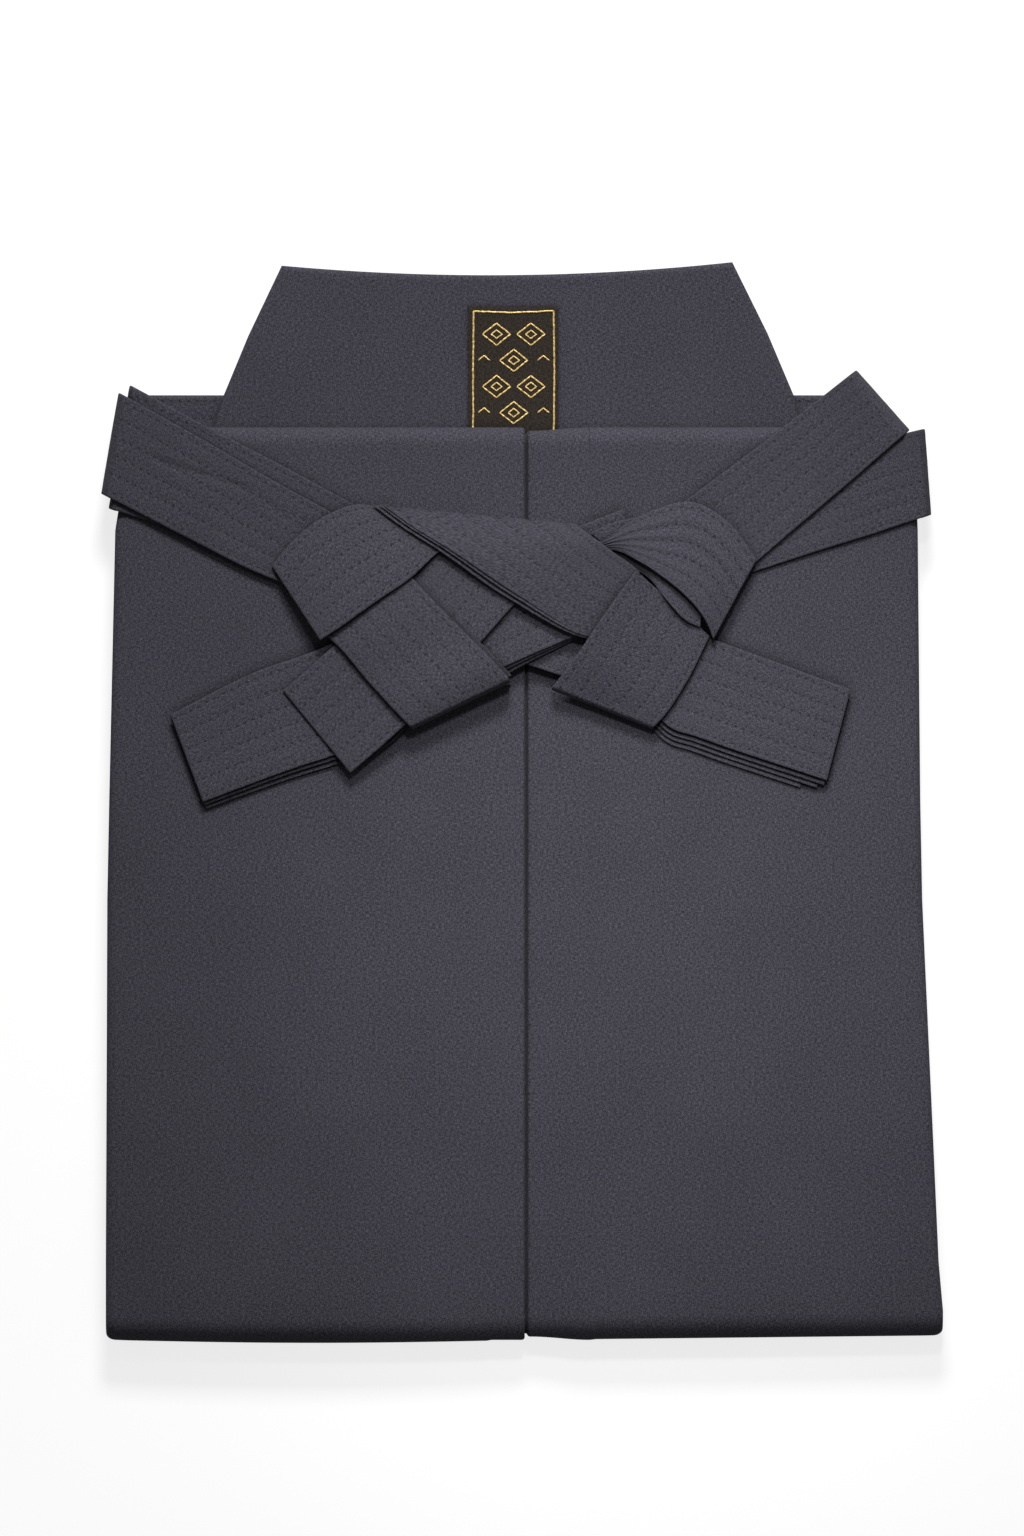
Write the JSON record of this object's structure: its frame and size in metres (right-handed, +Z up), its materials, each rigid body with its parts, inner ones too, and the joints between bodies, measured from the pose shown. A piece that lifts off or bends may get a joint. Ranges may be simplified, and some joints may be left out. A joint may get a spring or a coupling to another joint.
{
  "type": "folded hakama trousers",
  "caption": "Charcoal formal hakama trousers, folded in three and laid flat, with the stiff back board and its label above and wide quilted straps woven in a formal knot",
  "frame": {"origin": "on the table, under the middle of the garment's outline", "axes": "+Z up from the table, +Y from the folded bottom edge towards the stiff back board, +X to the right as the knot is seen from above"},
  "size_m": [0.337, 0.4334, 0.0321],
  "materials": {
    "hakama_cloth": "matte dark charcoal twill with a faint sheen",
    "board_cloth": "matte dark charcoal twill over a stiff core",
    "strap_cloth": "matte dark charcoal twill, quilted with rows of running stitches",
    "label_cloth": "black brown woven patch with gold thread"
  },
  "bodies": {
    "root": {"folded_legs": "hakama_cloth", "back_panel_left": "hakama_cloth", "back_panel_right": "hakama_cloth", "koshi_ita": "board_cloth", "label_patch": "label_cloth", "back_strap_root_left": "strap_cloth", "back_strap_root_right": "strap_cloth", "left_front_strap_bundle": "strap_cloth", "left_front_strap_run": "strap_cloth", "left_back_strap_run": "strap_cloth", "left_back_strap_wrap": "strap_cloth", "left_back_strap_pass": "strap_cloth", "left_back_strap_top": "strap_cloth", "right_front_strap_bundle": "strap_cloth", "right_front_strap_run": "strap_cloth", "right_back_strap_run": "strap_cloth", "right_back_strap_wrap_under": "strap_cloth", "right_back_strap_wrap_over": "strap_cloth", "right_back_strap_pass": "strap_cloth", "right_back_strap_tail": "strap_cloth"}
  },
  "joints": []
}
